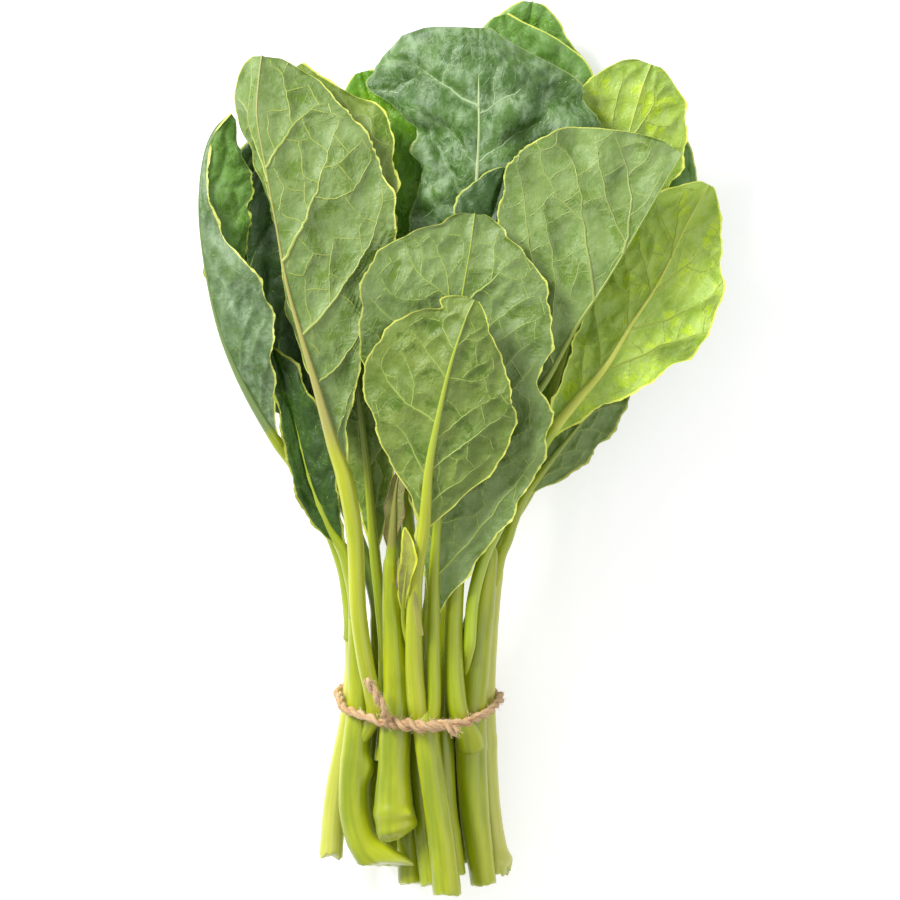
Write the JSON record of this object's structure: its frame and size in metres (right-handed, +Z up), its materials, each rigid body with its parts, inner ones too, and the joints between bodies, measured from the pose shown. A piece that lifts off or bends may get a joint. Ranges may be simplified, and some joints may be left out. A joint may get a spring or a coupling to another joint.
{
  "type": "chinese broccoli bunch",
  "caption": "Bunch of Chinese broccoli: thick green stalks and broad veined leaves, tied with a ring of straw twine and lying flat.",
  "frame": {"origin": "under the middle of the bunch, on the surface that it lies on", "axes": "+Y from the cut ends towards the leaf tips, +Z up, +X to the right seen from above"},
  "size_m": [0.1982, 0.3398, 0.0751],
  "materials": {
    "stalk": "satin",
    "leaf_pale": "satin",
    "leaf_bright": "satin",
    "leaf_dark": "satin",
    "leaf_dried": "matte",
    "twine": "matte"
  },
  "bodies": {
    "root": {"stalk_front": "stalk", "stalk_centre_left": "stalk", "stalk_left_toe": "stalk", "stalk_left_outer": "stalk", "stalk_right": "stalk", "stalk_right_outer": "stalk", "stalk_lower_centre": "stalk", "stalk_behind_front": "stalk", "stalk_centre_right": "stalk", "stalk_inner_left": "stalk", "stalk_slim": "stalk", "stalk_inner_centre": "stalk", "stalk_inner_right": "stalk", "stalk_bottom_left": "stalk", "stalk_bottom_right": "stalk", "leaf_front_small": "leaf_pale", "leaf_front_large": "leaf_pale", "leaf_left_tall": "leaf_pale", "leaf_left_rolled": "leaf_pale", "leaf_top_left": "leaf_pale", "leaf_right_upper": "leaf_pale", "leaf_right_outer": "leaf_pale", "leaf_top_right": "leaf_pale", "leaf_left_low": "leaf_bright", "leaf_bright_top": "leaf_bright", "young_leaf_small": "leaf_bright", "leaf_left_inner": "leaf_dark", "leaf_back_left": "leaf_dark", "leaf_top_dark": "leaf_dark", "leaf_top_inner": "leaf_dark", "leaf_right_low": "leaf_dark", "leaf_back_top": "leaf_dark", "leaf_top_centre": "leaf_dark", "leaf_back_right": "leaf_dark", "young_leaf_dried": "leaf_dried", "twine_wrap": "twine"}
  },
  "joints": []
}
